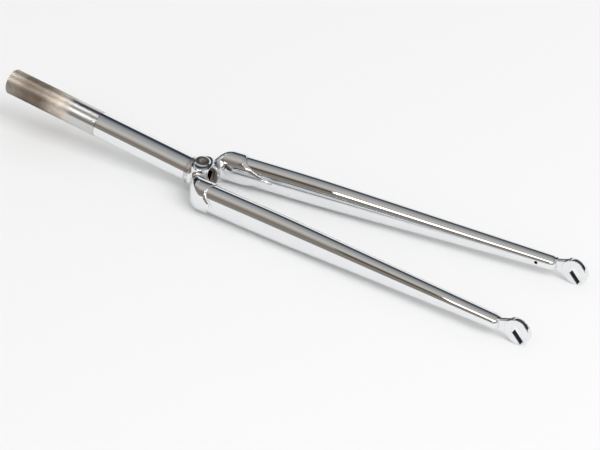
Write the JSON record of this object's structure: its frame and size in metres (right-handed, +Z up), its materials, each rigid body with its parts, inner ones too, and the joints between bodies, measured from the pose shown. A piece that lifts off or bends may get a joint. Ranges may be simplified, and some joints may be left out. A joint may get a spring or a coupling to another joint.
{
  "type": "rigid bicycle fork",
  "caption": "Chromed steel bicycle fork with a plain steerer, a sloping lugged crown drilled for a brake, straight tapered blades and slotted fork ends.",
  "frame": {"origin": "middle of the fork's box on the floor it lies on", "axes": "+X along the fork from the steerer to the fork ends, +Y to the left blade, +Z up, which is towards the fork's front"},
  "size_m": [0.6088, 0.1194, 0.0609],
  "materials": {
    "steerer_plating": "thin bright plating, bare brown-grey steel at the upper end",
    "crown_chrome": "mirror chrome, bare metal inside the holes",
    "blade_chrome": "mirror chrome",
    "fork_end_chrome": "mirror chrome"
  },
  "bodies": {
    "root": {"steerer_tube": "steerer_plating", "fork_crown": "crown_chrome", "left_blade": "blade_chrome", "right_blade": "blade_chrome", "left_fork_end": "fork_end_chrome", "right_fork_end": "fork_end_chrome"}
  },
  "joints": []
}
